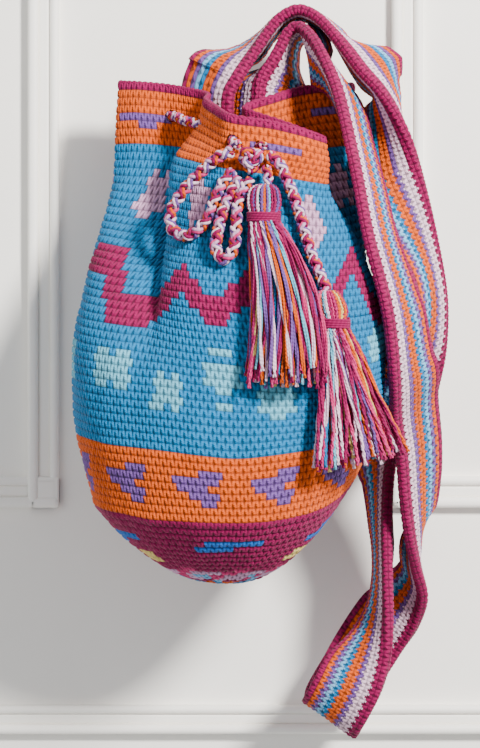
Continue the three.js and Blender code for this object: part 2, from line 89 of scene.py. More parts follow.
# Each ring: the crochet row it follows and 22 places round it, [x, front, z] in mm. Front is -Y.
RINGS = [
    (0, [
        (8, 0, -4), (-30, 0, -1), (-64, 0, 2), (-80, 8, 3), (-66, 17, 2), (-45, 19, 0),
        (-28, 28, -4), (-14, 44, -9), (-15, 60, -14), (-7, 82, -22), (4, 103, -30), (34, 106, -35),
        (66, 100, -43), (73, 89, -45), (44, 74, -33), (16, 58, -20), (39, 46, -10), (61, 26, -2),
        (86, 20, 1), (97, 9, 1), (84, 0, 1), (46, 0, -2),
    ]),
    (4, [
        (8, 0, -27), (-30, 0, -24), (-64, 0, -21), (-81, 11, -21), (-66, 22, -21), (-46, 23, -23),
        (-29, 29, -26), (-16, 43, -30), (-22, 58, -35), (-13, 82, -43), (3, 106, -52),
        (34, 109, -56), (68, 104, -62), (75, 92, -63), (46, 76, -52), (18, 58, -41), (41, 47, -32),
        (63, 31, -25), (86, 24, -22), (98, 11, -22), (84, 0, -23), (46, 0, -26),
    ]),
    (8.5, [
        (8, 0, -52), (-30, 0, -49), (-64, 0, -47), (-82, 12, -47), (-68, 24, -47), (-50, 26, -48),
        (-34, 31, -50), (-23, 44, -53), (-37, 62, -58), (-24, 88, -64), (1, 112, -71),
        (34, 114, -76), (66, 108, -81), (75, 95, -81), (53, 77, -74), (33, 60, -66), (52, 46, -58),
        (71, 35, -52), (90, 26, -49), (99, 12, -48), (86, 0, -48), (46, 0, -51),
    ]),
    (16, [
        (8, 0, -95), (-33, 0, -92), (-67, 1, -90), (-84, 16, -90), (-85, 36, -91), (-68, 50, -94),
        (-46, 55, -97), (-27, 56, -99), (-40, 80, -104), (-27, 108, -110), (1, 128, -114),
        (36, 131, -119), (72, 124, -121), (93, 106, -118), (88, 84, -112), (74, 66, -106),
        (84, 48, -101), (95, 36, -97), (102, 24, -95), (101, 11, -94), (86, 1, -93), (48, 0, -94),
    ]),
    (25, [
        (8, 0, -147), (-36, 0, -144), (-72, 5, -141), (-95, 28, -138), (-99, 58, -139),
        (-88, 84, -143), (-64, 95, -147), (-43, 94, -149), (-45, 111, -153), (-32, 133, -157),
        (0, 148, -161), (38, 150, -165), (76, 140, -166), (102, 116, -163), (111, 90, -158),
        (109, 68, -154), (108, 52, -151), (107, 38, -149), (103, 24, -147), (92, 9, -146),
        (72, 1, -146), (42, 0, -147),
    ]),
    (36, [
        (8, 0, -210), (-40, 1, -207), (-80, 14, -203), (-102, 41, -200), (-110, 75, -200),
        (-101, 107, -204), (-80, 128, -208), (-59, 139, -211), (-42, 149, -213), (-19, 158, -217),
        (8, 163, -220), (40, 162, -223), (74, 150, -222), (100, 127, -218), (114, 98, -213),
        (116, 74, -211), (114, 54, -210), (107, 34, -209), (94, 16, -209), (78, 4, -209),
        (58, 0, -209), (34, 0, -210),
    ]),
    (46, [
        (8, 0, -266), (-38, 2, -264), (-76, 16, -261), (-98, 43, -258), (-107, 77, -258),
        (-99, 110, -261), (-80, 134, -265), (-60, 148, -267), (-41, 158, -269), (-16, 167, -272),
        (10, 170, -274), (40, 168, -271), (72, 154, -266), (96, 131, -260), (108, 100, -254),
        (110, 76, -251), (107, 54, -251), (99, 34, -254), (86, 17, -258), (72, 6, -262),
        (54, 1, -264), (32, 0, -266),
    ]),
    (WALL_ROWS, [
        (6, 8, -312), (-36, 10, -312), (-68, 25, -311), (-87, 50, -309), (-94, 80, -309),
        (-88, 111, -311), (-72, 134, -314), (-54, 147, -317), (-36, 155, -318), (-12, 162, -319),
        (12, 164, -319), (40, 160, -317), (66, 146, -311), (85, 123, -300), (94, 97, -288),
        (96, 76, -284), (92, 55, -286), (84, 36, -292), (74, 23, -300), (60, 14, -306),
        (46, 9, -309), (26, 8, -311),
    ]),
]
BASE_CENTRE = (2, 86, -366)
DRAWSTRING = [
    (11, 119, -53), (6, 110, -50), (7, 96, -46), (4, 82, -42), (-6, 71, -37), (-19, 62, -33),
    (-30, 47, -29), (-36, 32, -25), (-43, 17, -23), (-54, 12, -22), (-64, 6, -22), (-66, -3, -23),
    (-56, -5.5, -25), (-30, -5.2, -28), (8, -5.2, -31), (50, -5.2, -28), (78, -5.2, -25),
    (86, -1, -24), (87, 8, -24), (80, 14.5, -25), (67, 19, -26), (56, 24.5, -29), (47, 34, -33),
    (44, 48, -38), (46, 62, -44), (45, 78, -50), (36, 90, -54), (28, 99, -54), (26, 110, -53),
    (28, 119, -53),
]
LEFT_LOOP = [
    (6.5, 121, -57), (-2, 119, -60), (-16, 113, -71), (-30, 110, -86), (-38, 107, -100),
    (-37, 110, -112), (-25, 121, -117), (-12, 127, -106), (-6, 126, -91), (0, 125, -79),
    (7, 124.5, -71),
]
LOWER_LOOP = [
    (11.5, 127, -76.5), (6, 129, -86), (0, 132, -99), (-4, 136, -114), (-5.5, 140.5, -128),
    (0, 144, -135), (6.5, 144, -128), (8.5, 141, -112), (9.5, 136, -98), (13, 131, -87),
    (19, 128.5, -77),
]
LOWER_END = [
    (31, 122, -59), (38, 122, -65), (45, 125, -79), (51, 129, -95), (56, 134, -112),
    (61, 140, -130), (67, 146, -145), (71, 149, -155), (73, 152, -163), (75, 153, -171),
]
# The upper end runs on down inside the head of its tassel.
UPPER_END = [(29, 126, -68.5), (31, 129, -73), (31, 132, -79), (29, 137, -93), (28, 140, -104),
             (30, 145, -116)]
KNOT_CENTRE = (19, 123, -63)
KNOT_RADII = (9.5, 8, 10.5)
# The strap, folded along its middle: the ridge of the fold, and the way each half lies from it.
STATIONS = [
    ((6, 41, -47), (-35, -34, 0), (-39, -30, 0)),
    ((5, 42, -13), (-35, -34, 0), (-38, -31, 0)),
    ((11, 42, 1), (-25, -43, 4), (-42, -24, 10)),
    ((18, 40, 13), (-14, -47, 2), (-36, -32, 10)),
    ((25, 38, 26), (0, -49, -2), (-16, -46, 4)),
    ((33, 37, 39), (1, -49, -3), (-5, -49, 2)),
    ((42, 37, 49), (0, -49, -4), (-2, -49, 2)),
    ((54, 39, 54), (0, -49, -4), (0, -50, 0)),
    ((66, 43, 49), (4, -49, -1), (8, -48, 1)),
    ((77, 51, 37), (3, -49, 0), (14, -47, 0)),
    ((88, 60, 21), (0, -49, 0), (35, -34, 2)),
    ((99, 68, 5), (0, -49, 0), (34, -34, 9)),
    ((112, 72, -9), (-4, -49, 0), (24, -43, 6)),
    ((124, 69, -25), (-20, -45, -6), (12, -48, 2)),
    ((136, 62, -48), (-42, -24, 0), (-12, -48, 0)),
    ((147, 48, -80), (-45, 18, 0), (-36, -34, 0)),
    ((156, 37, -116), (-34, 36, 0), (-40, -30, 0)),
    ((163, 33, -158), (-26, 42, 0), (-42, -26, 0)),
    ((163, 24, -196), (-34, 36, 0), (-45, -22, 0)),
    ((158, 13, -226), (-46, -16, 0), (-46, -18, 0)),
    ((147, 9, -248), (-46, -18, 0), (-42, -26, 0)),
    ((133, 12, -267), (-30, -40, 0), (-24, -44, 0)),
    ((124, 22, -285), (-14, -47, 0), (-6, -49, 0)),
    ((120, 38, -323), (-8, -49, 0), (4, -49, 0)),
    ((120, 45, -364), (-8, -49, 0), (0, -50, 0)),
    ((121, 49, -396), (-20, -45, 3), (-14, -47, 2)),
    ((120, 50, -423), (-38, -31, 6), (-30, -39, 5)),
    ((114, 48, -447), (-46, -14, 12), (-43, -23, 11)),
    ((105, 42, -467), (-43, -5, 25), (-42, -12, 24)),
    ((98, 30, -481), (-41, 0, 31), (-40, -4, 29)),
    ((99, 14, -482), (-41, 3, 31), (-40, 7, 29)),
    ((105, -4, -469), (-43, -4, 24), (-42, 6, 23)),
    ((116, -12, -450), (-48, -8, 9), (-46, 6, 8)),
    ((131, -13, -426), (-45, -22, 2), (-46, -10, 2)),
    ((143, 1, -405), (-30, -40, 0), (-36, -34, 0)),
    ((148, 18, -382), (-4, -49, 0), (-10, -49, 0)),
    ((141, 36, -358), (10, -49, 0), (4, -50, 0)),
    ((135, 51, -337), (22, -45, 0), (12, -49, 0)),
    ((130, 61, -307), (30, -40, 0), (18, -46, 0)),
    ((127, 71, -278), (32, -38, 0), (20, -45, 0)),
    ((122, 88, -248), (32, -38, 0), (16, -47, 0)),
    ((120, 108, -220), (31, -39, 0), (14, -48, 0)),
    ((117, 118, -191), (30, -40, 0), (15, -47, 0)),
    ((112, 124, -162), (28, -42, 0), (16, -47, 0)),
    ((101, 123, -117), (24, -44, 0), (10, -49, 0)),
    ((94, 114, -77), (21, -45, 0), (8, -49, 0)),
    ((87, 100, -40), (18, -46, 0), (6, -50, 0)),
    ((80, 86, -8), (16, -46, 0), (2, -49, 0)),
    ((71, 73, 17), (6, -49, 0), (-4, -49, 0)),
    ((63, 59, 33), (-8, -47, -4), (-11, -47, -5)),
    ((54, 48, 41), (-6, -48, -9), (-4, -46, -16)),
    ((46, 45, 36), (-1, -49, -4), (4, -48, -12)),
    ((40, 44, 25), (3, -49, 0), (14, -46, -6)),
    ((34, 44, 15), (2, -49, 0), (33, -35, 0)),
    ((28, 44, 5), (-12, -47, 0), (36, -32, 0)),
    ((25, 44, -7), (-31, -37, 0), (35, -34, 0)),
    ((24, 43, -47), (-35, -33, 0), (35, -34, 0)),
]
# Centre, half width, half depth and turn in degrees of each level of the bundle.
UPPER_TASSEL = [
    ((29, 135, -82), 5, 5, 0),
    ((28, 136, -86), 11, 9, 0),
    ((28, 138, -95), 12.5, 10, 0),
    ((28, 140, -101), 11, 9, 0),
    ((28, 141, -105), 10, 8, 0),
    ((29, 143, -110), 12, 9, 0),
    ((34, 152, -130), 18, 10, 0),
    ((40, 164, -158), 23, 10, 0),
    ((43, 173, -190), 27, 10, 0),
    ((42, 178, -222), 30, 11, 0),
]

LOWER_TASSEL = [
    ((72, 151, -157), 5, 4, 10),
    ((73, 152, -161), 10, 7, 10),
    ((75, 153, -170), 12, 8, 10),
    ((76, 154, -176), 10, 7, 10),
    ((77, 155, -180), 9.5, 6.5, 12),
    ((78, 156, -185), 11, 7, 15),
    ((83, 158, -206), 17, 8, 20),
    ((88, 160, -232), 23, 9, 24),
    ((93, 161, -256), 29, 10, 26),
    ((97, 161, -276), 34, 10, 26),
]


# ---- Curves ----
def span(points, knots, t):
    def mix(p, q, kp, kq):
        return (p * (kq - t) + q * (t - kp)) / (kq - kp)
    ab = mix(points[0], points[1], knots[0], knots[1])
    bc = mix(points[1], points[2], knots[1], knots[2])
    cd = mix(points[2], points[3], knots[2], knots[3])
    return mix(mix(ab, bc, knots[0], knots[2]), mix(bc, cd, knots[1], knots[3]), knots[1], knots[2])


def open_curve(points, knots, at):
    """Smooth curve through points at uneven knots, with one mirrored point at each end."""
    points = np.asarray(points, float)
    knots = np.asarray(knots, float)
    points = np.concatenate([[2 * points[0] - points[1]], points, [2 * points[-1] - points[-2]]])
    knots = np.concatenate([[2 * knots[0] - knots[1]], knots, [2 * knots[-1] - knots[-2]]])
    at = np.asarray(at, float)
    i = np.clip(np.searchsorted(knots, at, side="left") - 1, 1, len(knots) - 3)
    shape = (-1,) + (1,) * (points.ndim - 1)
    near = [points[i + j] for j in (-1, 0, 1, 2)]
    return span(near, [knots[i + j].reshape(shape) for j in (-1, 0, 1, 2)], at.reshape(shape))


def closed_loop(rings, steps):
    four = [np.roll(rings, 1, 1), rings, np.roll(rings, -1, 1), np.roll(rings, -2, 1)]
    knots = [np.zeros(rings.shape[:2] + (1, 1))]
    for j in range(3):
        chord = np.linalg.norm(four[j + 1] - four[j], axis=2)
        knots.append(knots[-1] + np.sqrt(chord)[..., None, None])
    share = (np.arange(steps) / steps).reshape(1, 1, -1, 1)
    t = knots[1] + (knots[2] - knots[1]) * share
    return span([q[:, :, None, :] for q in four], knots, t).reshape(rings.shape[0], -1, 3)


def cord_line(route, step):
    """Points every `step` mm along the smooth curve through the route, in mm with +Y backwards."""
    route = np.asarray(route, float)
    chords = np.linalg.norm(np.diff(route, axis=0), axis=1)
    knots = np.concatenate([[0], np.cumsum(np.sqrt(chords))])
    fine = open_curve(route, knots, np.linspace(0, knots[-1], 60 * len(route)))
    fine = fine * (1, -1, 1)
    return resample(fine, step)


def distances(line):
    """Length of the line up to each of its points."""
    return np.concatenate([[0], np.cumsum(np.linalg.norm(np.diff(line, axis=0), axis=1))])


def resample(line, step):
    far = distances(line)
    at = np.linspace(0, far[-1], max(3, int(round(far[-1] / step)) + 1))
    return np.stack([np.interp(at, far, line[:, k]) for k in range(3)], axis=1)


def unit(v):
    return v / np.maximum(np.linalg.norm(v, axis=-1, keepdims=True), 1e-9)


def carried_frames(lines):
    """Tangent and two normals along each line of an (S, n, 3) array, without twist."""
    tangent = unit(np.gradient(lines, axis=1))
    normal = np.zeros_like(lines)
    start = np.cross(tangent[:, 0], (0.31, 0.17, 0.93))
    normal[:, 0] = unit(start)
    for i in range(1, lines.shape[1]):
        v = normal[:, i - 1]
        v = v - tangent[:, i] * np.sum(v * tangent[:, i], axis=1, keepdims=True)
        normal[:, i] = unit(v)
    return tangent, normal, np.cross(tangent, normal)


# ---- Meshes ----
def grid_quads(rows, columns, wrap):
    """Quads of a grid of rows x columns vertices. With wrap the last column joins the first."""
    spans = columns if wrap else columns - 1
    r, c = cells(rows - 1, spans)
    right = (c + 1) % columns
    return np.stack([r * columns + c, (r + 1) * columns + c, (r + 1) * columns + right,
                     r * columns + right], axis=1)


def cells(rows, columns):
    """Row and column of the first corner of each face, in the order of grid_quads."""
    low, here = np.meshgrid(np.arange(rows), np.arange(columns), indexing="ij")
    return low.ravel(), here.ravel()


def corner_uv(low, here, across, down):
    """Texture place of each corner of each face, by its row and column."""
    uv = np.zeros((len(low), 4, 2))
    for corner, (dr, dc) in enumerate(CORNERS):
        uv[:, corner, 0] = across(low + dr, here + dc)
        uv[:, corner, 1] = down(low + dr, here + dc)
    return uv


def mesh_object(name, points, quads, material, colours, uvs):
    """points in metres, colours one linear RGB a face, uvs four a face."""
    mesh = bpy.data.meshes.new(name)
    mesh.vertices.add(len(points))
    mesh.vertices.foreach_set("co", np.asarray(points, np.float32).ravel())
    count = len(quads)
    mesh.loops.add(4 * count)
    mesh.loops.foreach_set("vertex_index", np.asarray(quads, np.int32).ravel())
    mesh.polygons.add(count)
    mesh.polygons.foreach_set("loop_start", np.arange(0, 4 * count, 4, dtype=np.int32))
    mesh.polygons.foreach_set("use_smooth", np.ones(count, bool))
    layer = mesh.uv_layers.new(name="UVMap")
    layer.data.foreach_set("uv", np.asarray(uvs, np.float32).ravel())
    tint = mesh.color_attributes.new("colour", "FLOAT_COLOR", "CORNER")
    rgba = np.ones((count, 4, 4), np.float32)
    rgba[:, :, :3] = np.asarray(colours)[:, None, :]
    tint.data.foreach_set("color", rgba.ravel())
    mesh.update(calc_edges=True)
    mesh.materials.append(material)
    obj = bpy.data.objects.new(name, mesh)
    bpy.context.scene.collection.objects.link(obj)
    return obj


def join(parts):
    """One set of points, quads, colours and uvs from several."""
    points, quads, colours, uvs, base = [], [], [], [], 0
    for p, q, c, u in parts:
        points.append(p)
        quads.append(q + base)
        colours.append(c)
        uvs.append(u)
        base += len(p)
    return (np.concatenate(points), np.concatenate(quads), np.concatenate(colours),
            np.concatenate(uvs))


def tubes(lines, radius, sides, tints):
    """Tubes of yarn along (S, n, 3) lines in mm, closed at both ends. tints is (S, 3)."""
    count, length = lines.shape[:2]
    tangent, normal, side = carried_frames(lines)
    radius = np.broadcast_to(np.asarray(radius, float), (count, length)).copy()
    radius[:, 0] *= 0.02
    radius[:, -1] *= 0.02
    turn = 2 * np.pi * np.arange(sides) / sides
    ring = (np.cos(turn)[None, None, :, None] * normal[:, :, None, :]
            + np.sin(turn)[None, None, :, None] * side[:, :, None, :])
    points = lines[:, :, None, :] + radius[..., None, None] * ring
    quad = grid_quads(length, sides, True)
    quads = (quad[None] + (np.arange(count) * length * sides)[:, None, None]).reshape(-1, 4)
    far = np.cumsum(np.linalg.norm(np.diff(lines, axis=1), axis=2), axis=1)
    far = np.concatenate([np.zeros((count, 1)), far], axis=1)
    along, around = cells(length - 1, sides)
    uv = np.zeros((count, len(along), 4, 2))
    for corner, (da, dr) in enumerate(CORNERS):
        uv[:, :, corner, 0] = (around + dr)[None] / sides
        uv[:, :, corner, 1] = far[:, along + da]
    colours = np.repeat(tints, len(along), axis=0)
    return points.reshape(-1, 3) * MM, quads, colours, uv.reshape(-1, 4, 2)


# ---- Materials ----
class Shader:
    """Short names for the nodes of one material."""

    def __init__(self, name):
        self.material = bpy.data.materials.new(name)
        self.material.use_nodes = True
        self.nodes = self.material.node_tree.nodes
        self.links = self.material.node_tree.links
        self.principled = self.nodes["Principled BSDF"]

    def put(self, socket, value):
        if isinstance(value, bpy.types.NodeSocket):
            self.links.new(value, socket)
        else:
            socket.default_value = value

    def node(self, kind, **inputs):
        made = self.nodes.new(kind)
        for name, value in inputs.items():
            self.put(made.inputs[name.replace("_", " ")], value)
        return made

    def math(self, operation, *values):
        made = self.nodes.new("ShaderNodeMath")
        made.operation = operation
        for socket, value in zip(made.inputs, values):
            self.put(socket, value)
        return made.outputs[0]

    def times(self, a, b):
        return self.math("MULTIPLY", a, b)

    def plus(self, a, b):
        return self.math("ADD", a, b)

    def minus(self, a, b):
        return self.math("SUBTRACT", a, b)

    def scaled(self, colour, factor):
        made = self.nodes.new("ShaderNodeVectorMath")
        made.operation = "SCALE"
        self.put(made.inputs[0], colour)
        self.put(made.inputs["Scale"], factor)
        return made.outputs[0]

    def split_uv(self):
        uv = self.nodes.new("ShaderNodeUVMap")
        uv.uv_map = "UVMap"
        parts = self.node("ShaderNodeSeparateXYZ", Vector=uv.outputs[0])
        return parts.outputs[0], parts.outputs[1]

    def vector(self, x, y, z=0.0):
        return self.node("ShaderNodeCombineXYZ", X=x, Y=y, Z=z).outputs[0]

    def noise(self, vector, scale, detail=3.0):
        made = self.node("ShaderNodeTexNoise", Vector=vector, Scale=scale, Detail=detail)
        return made.outputs["Fac"]

    def tint(self):
        made = self.nodes.new("ShaderNodeAttribute")
        made.attribute_name = "colour"
        return made.outputs["Color"]

    def finish(self, colour, height, distance, strength, rough):
        bump = self.node("ShaderNodeBump", Height=height, Distance=distance, Strength=strength)
        inputs = self.principled.inputs
        self.put(inputs["Base Color"], colour)
        self.put(inputs["Normal"], bump.outputs[0])
        self.put(inputs["Roughness"], rough)
        self.put(inputs["Specular IOR Level"], 0.2)
        self.put(inputs["Sheen Weight"], 0.05)
        self.put(inputs["Sheen Roughness"], 0.45)
        return self.material


def crochet_material(name, stitch_wide, row_high, variation):
    """Single crochet on a UV map that counts stitches and rows."""
    s = Shader(name)
    c, r = s.split_uv()
    row = s.math("FLOOR", r)
    down = s.math("FRACT", r)
    shift = s.times(s.math("MODULO", row, 2.0), 0.5)
    shifted = s.plus(c, shift)
    a = s.math("FRACT", shifted)
    side = s.minus(a, 0.5)
    out = s.math("ABSOLUTE", side)
    leg_at = s.minus(0.34, s.times(down, 0.24))
    off = s.times(s.minus(out, leg_at), stitch_wide)
    across = s.math("DIVIDE", off, 1.42)
    round_leg = s.minus(1.0, s.times(across, across))
    round_leg = s.math("SQRT", s.math("MAXIMUM", round_leg, 0.0))
    ends = s.minus(s.times(down, 2.0), 1.0)
    ends = s.math("POWER", s.math("ABSOLUTE", ends), 5.0)
    fade = s.minus(1.0, s.times(ends, 0.8))
    leg = s.times(round_leg, fade)
    twist = s.times(down, row_high * 3.6)
    twist = s.plus(twist, s.times(off, 2.2))
    ply = s.math("SINE", twist)
    wide_mm = s.times(c, stitch_wide * 1.6)
    fibre = s.noise(s.vector(wide_mm, s.times(r, row_high * 0.5)), 2.4)
    height = s.plus(leg, s.times(s.times(ply, leg), 0.16))
    height = s.plus(height, s.times(fibre, 0.22))
    cell = s.vector(s.math("FLOOR", shifted), row)
    speck = s.node("ShaderNodeTexWhiteNoise", Vector=cell).outputs["Value"]
    cloud = s.noise(s.vector(c, r), 0.18, 2.0)
    # Painted shade: the colour darkens where the leg height is low, in the grooves between the
    # stitch legs and between the rows. The speck, cloud and fibre factors below are the yarn's own
    # uneven tone.
    shade = s.plus(0.36, s.times(leg, 0.71))
    uneven = s.plus(1.0 - variation / 2, s.times(speck, variation))
    shade = s.times(shade, uneven)
    shade = s.times(shade, s.plus(0.90, s.times(cloud, 0.2)))
    shade = s.times(shade, s.plus(0.90, s.times(fibre, 0.2)))
    # Painted shade and highlight: the colour follows the ply twist, a little darker in its grooves
    # and lighter on its crests.
    shade = s.times(shade, s.plus(1.0, s.times(ply, 0.05)))
    return s.finish(s.scaled(s.tint(), shade), height, 0.0009, 0.75, 0.72)


def yarn_material(name):
    """Plied yarn on a UV map of the turn round the yarn and the millimetres along it."""
    s = Shader(name)
    u, v = s.split_uv()
    twist = s.plus(s.times(u, 4 * math.pi), s.times(v, 2.3))
    ply = s.math("SINE", twist)
    fibre = s.noise(s.vector(s.times(u, 9.0), s.times(v, 0.7)), 1.7)
    height = s.plus(s.times(ply, 0.5), fibre)
    # Painted shade and highlight: the colour follows the ply twist, darker in its grooves and
    # lighter on its crests. The fibre factor after it is the yarn's own uneven tone.
    shade = s.plus(0.86, s.times(ply, 0.09))
    shade = s.times(shade, s.plus(0.86, s.times(fibre, 0.3)))
    return s.finish(s.scaled(s.tint(), shade), height, 0.0004, 0.6, 0.74)


BODY_YARN = crochet_material("body_crochet", STITCH_WIDE, 5.75, 0.16)
STRAP_YARN = crochet_material("strap_crochet", STRAP_STITCH, 4.1, 0.16)
CORD_YARN = yarn_material("cord_cotton")
TASSEL_YARN = yarn_material("tassel_cotton")
SEWING_YARN = yarn_material("sewing_cotton")


# ---- Crochet ----
def stitch_height(c, r, wide):
    """Height from 0 to 1 of the two legs of each single crochet."""
    row = np.floor(r + 1e-6)
    down = r - row
    a = (c + 0.5 * (row % 2)) % 1.0
    off = (np.abs(a - 0.5) - (0.34 - 0.24 * down)) * wide
    leg = np.sqrt(np.clip(1 - (off / 1.5) ** 2, 0, 1))
    return leg * np.sqrt(np.clip(1 - (2 * down - 1) ** 6, 0, 1))


def lumps(c, r):
    """Uneven tension of handwork, in mm."""
    slow = 0.55 * np.sin(0.55 * c + 1.4 * np.sin(0.21 * r))
    slow = slow * np.sin(0.33 * r + 0.8 * np.sin(0.3 * c))
    return slow + 0.28 * np.sin(1.37 * c + 0.9 * r) * np.sin(0.71 * r - 0.6 * c)


def stitch_of(c, r):
    """Middle of the stitch that holds each point: its place round the bag and its row."""
    row = np.floor(r)
    k = np.floor(c + 0.5 * (row % 2))
    return (k + 0.5 - 0.5 * (row % 2)) % STITCHES, row + 0.5


# Middle of the zigzag band: stitch round the bag, row.
ZIGZAG = [
    (0, 23), (5, 28.3), (10, 23), (15, 28.3), (20, 23), (24, 26), (27.5, 23), (32.4, 23.4),
    (36, 28.6), (41, 28.8), (45.2, 26.4), (48.8, 22.8), (53.4, 27.8), (58.5, 23), (63, 28),
    (67.5, 27.4), (72.2, 18.8), (74.6, 23.5), (77.5, 28), (82, 23), (87, 28.3), (92, 23),
    (97, 28.3), (102, 23), (106, 28), (110, 23),
]
# Small motifs: row, stitch, shape and colour.
MOTIFS = [
    (14, 30, "bud", "pale_pink"), (13, 50, "bud", "pale_pink"),
    (14, 65.8, "diamond", "pale_pink"), (12.5, 87.8, "bud", "pale_pink"),
    (13.5, 8, "bud", "pale_pink"), (13.5, 19, "bud", "pale_pink"),
    (13.5, 99, "bud", "pale_pink"), (36.5, 38.5, "flower", "pale_cyan"),
    (38.8, 46.2, "bud", "pale_cyan"), (35.8, 53.5, "cross", "pale_cyan"),
    (38.3, 60, "bud", "pale_cyan"), (36.5, 68, "cross", "pale_cyan"),
    (31.8, 77.3, "flower", "pale_cyan"), (36.5, 88, "flower", "pale_cyan"),
    (36.5, 98, "cross", "pale_cyan"), (36.5, 8, "flower", "pale_cyan"),
    (36.5, 18, "cross", "pale_cyan"), (36.5, 28, "flower", "pale_cyan"),
]
ARROW_TOP = 48
# Left and right end of each row of the arrow-shaped motif, from its top row down.
ARROW = [(3, 6), (0, 6), (0.5, 4.5), (2, 6), (3, 5.5)]


def motif_mask(shape, dr, dc):
    if shape in ("flower", "bud"):
        wide = 2.8 if shape == "flower" else 2.0
        block = (np.abs(dr) <= 2.6) & (np.abs(dc) <= wide)
        notch = (np.abs(dc) < 0.5) & (np.abs(dr) > 1.6)
        notch |= (np.abs(dr) < 0.6) & (np.abs(dc) > wide - 0.5)
        corner = np.abs(dr) + np.abs(dc) > wide + 1.7
        return block & ~notch & ~corner
    if shape == "diamond":
        return np.abs(dr) / 4.2 + np.abs(dc) / 2.0 <= 1
    upright = (np.abs(dc) <= 1.1) & (np.abs(dr) <= 4.1)
    return upright & (np.abs(np.abs(dr) - 2.6) > 0.35) | (np.abs(dr) <= 1.6) & (np.abs(dc) <= 2.1)


def wall_pattern(c, row):
    pick = np.full(row.shape, ink("turquoise"))
    pick[row < 8.5] = ink("orange")
    pick[row < 1.3] = ink("magenta")
    lilac = (row > 4) & (row < 5) & (c > 21.5) & (c < 31.5)
    lilac |= (row > 3) & (row < 4) & ((c > 57.5) & (c < 63.5) | (c > 88) & (c < 92.5))
    lilac |= (row > 5) & (row < 6) & (c > 25) & (c < 29)
    pick[lilac] = ink("lilac")
    middle = np.interp(c, [z[0] for z in ZIGZAG], [z[1] for z in ZIGZAG])
    pick[np.abs(row - middle) < 2.05] = ink("magenta")
    for at_row, at, shape, colour in MOTIFS:
        pick[motif_mask(shape, row - at_row, c - at)] = ink(colour)
    pick[row > 46] = ink("orange")
    for k, (left, right) in enumerate(ARROW):
        place = (c - 26.7) % 10.0
        pick[(np.floor(row) == ARROW_TOP + k) & (place > left) & (place < right)] = ink("lilac")
    return pick


def base_pattern(c, row):
    pick = np.full(row.shape, ink("magenta"))
    ahead = (c - 47.0) % 22.0
    pick[(row > 58) & (row < 59) & (ahead > 3) & (ahead < 12)] = ink("blue")
    pick[(row > 59) & (row < 60) & (ahead > 0) & (ahead < 7)] = ink("blue")
    pick[(row > 61) & (row < 63) & ((c + 5.7) % 36.7 < 6)] = ink("cream")
    pick[(row > 65) & (row < 68)] = ink("pale_pink")
    pick[(row > 64) & (row < 68) & ((c + 3 * row) % 13.75 < 5)] = ink("pink")
    pick[(row > 66) & (row < 69) & ((c - 2 * row) % 18.3 < 4)] = ink("pale_blue")
    star = np.abs((c % 13.75) - 6.9) * (CENTRE_ROW - row) / 6.9
    pick[row > 69] = ink("orange")
    pick[(row > 69) & (star < 2.1)] = ink("turquoise")
    return pick


# ---- Bag body ----
RING_ROWS = np.array([ring[0] for ring in RINGS], float)
PLACES = np.array([ring[1] for ring in RINGS], float)


def even_rings(rows, columns, steps=16):
    """Wall rings with evenly spaced columns: half of them on each side of the front pleat."""
    loops = closed_loop(open_curve(PLACES, RING_ROWS, rows), steps)
    rings = np.zeros((len(rows), columns, 3))
    half = 10 * steps
    share = np.arange(columns) / columns
    for i, loop in enumerate(loops):
        line = np.vstack([loop, loop[:1]])
        far = distances(line)
        at = np.where(share < 0.5, share * 2 * far[half],
                      far[half] + (share - 0.5) * 2 * (far[-1] - far[half]))
        for k in range(3):
            rings[i, :, k] = np.interp(at, far, line[:, k])
    return rings * (1, -1, 1)


def base_rings(rows, columns):
    edge = even_rings(np.array([float(WALL_ROWS)]), columns)[0]
    part = np.clip((CENTRE_ROW - rows) / (CENTRE_ROW - WALL_ROWS), 0, 1)[:, None]
    centre = np.array(BASE_CENTRE, float) * (1, -1, 1)
    rings = centre + (edge - centre)[None] * part[:, :, None] ** 0.92
    rings[:, :, 2] = centre[2] + (edge[:, 2] - centre[2])[None] * part ** 1.9
    return rings


def outward(rings, wrap=True):
    if wrap:
        along = np.roll(rings, -1, 1) - np.roll(rings, 1, 1)
    else:
        along = np.gradient(rings, axis=1)
    return unit(np.cross(np.gradient(rings, axis=0), along))


def count_in_row(row):
    """Stitches in one round: the base loses some in every round."""
    part = np.clip((CENTRE_ROW - row) / (CENTRE_ROW - WALL_ROWS), 0, 1)
    return np.where(row < WALL_ROWS, STITCHES, np.maximum(6, np.round(STITCHES * part)))


def crochet_sheet(rings, rows, pattern, wide):
    """Displaced grid of stitches: points in metres, quads, colours and uvs."""
    levels, columns = rings.shape[:2]
    share = np.arange(columns) / columns
    r = np.broadcast_to(rows[:, None], (levels, columns))
    count = count_in_row(np.floor(r + 1e-6) + 0.5)
    c = share[None] * count
    rise = 1.05 * stitch_height(c, r, wide) - 0.55
    edge = np.clip((CENTRE_ROW - r) / 4, 0, 1)
    rise = (rise + lumps(share[None] * STITCHES, r)) * edge
    points = rings + outward(rings) * rise[..., None]
    quads = grid_quads(levels, columns, True)
    low, here = cells(levels - 1, columns)
    middle_row = (rows[low] + rows[low + 1]) / 2
    stitches = count_in_row(np.floor(middle_row) + 0.5)
    own = np.floor(middle_row)
    uv = corner_uv(low, here, lambda r, c: c / columns * stitches,
                   lambda r, c: np.clip(rows[r], own + 1e-4, own + 1 - 1e-4))
    place, row = stitch_of((here + 0.5) / columns * stitches, middle_row)
    pick = pattern(place * STITCHES / stitches, row)
    return points, quads, PALETTE[pick], uv


